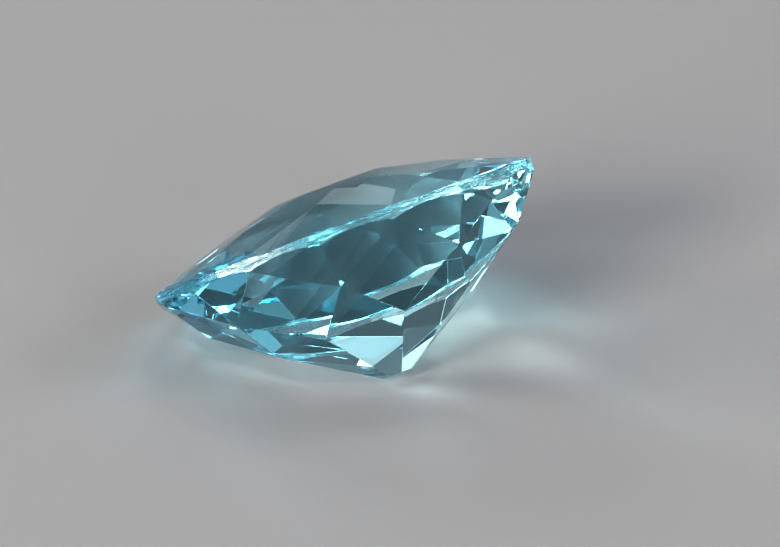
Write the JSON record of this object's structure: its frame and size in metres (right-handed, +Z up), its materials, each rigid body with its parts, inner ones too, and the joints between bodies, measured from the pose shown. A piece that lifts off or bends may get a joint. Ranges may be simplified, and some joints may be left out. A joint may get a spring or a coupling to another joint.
{
  "type": "cut topaz gemstone",
  "caption": "Loose oval-cut topaz with flat crown facets, a thin girdle and a deep pavilion, lying on a pavilion facet.",
  "frame": {"origin": "middle of the pavilion facet that the stone lies on, in the plane of the surface under it", "axes": "+Z up, away from the surface; +X under the oval's long axis, towards its raised end"},
  "size_m": [0.0178, 0.0106, 0.0099],
  "materials": {
    "topaz": "polished, transparent light blue"
  },
  "bodies": {
    "root": {"topaz": "topaz"}
  },
  "joints": []
}
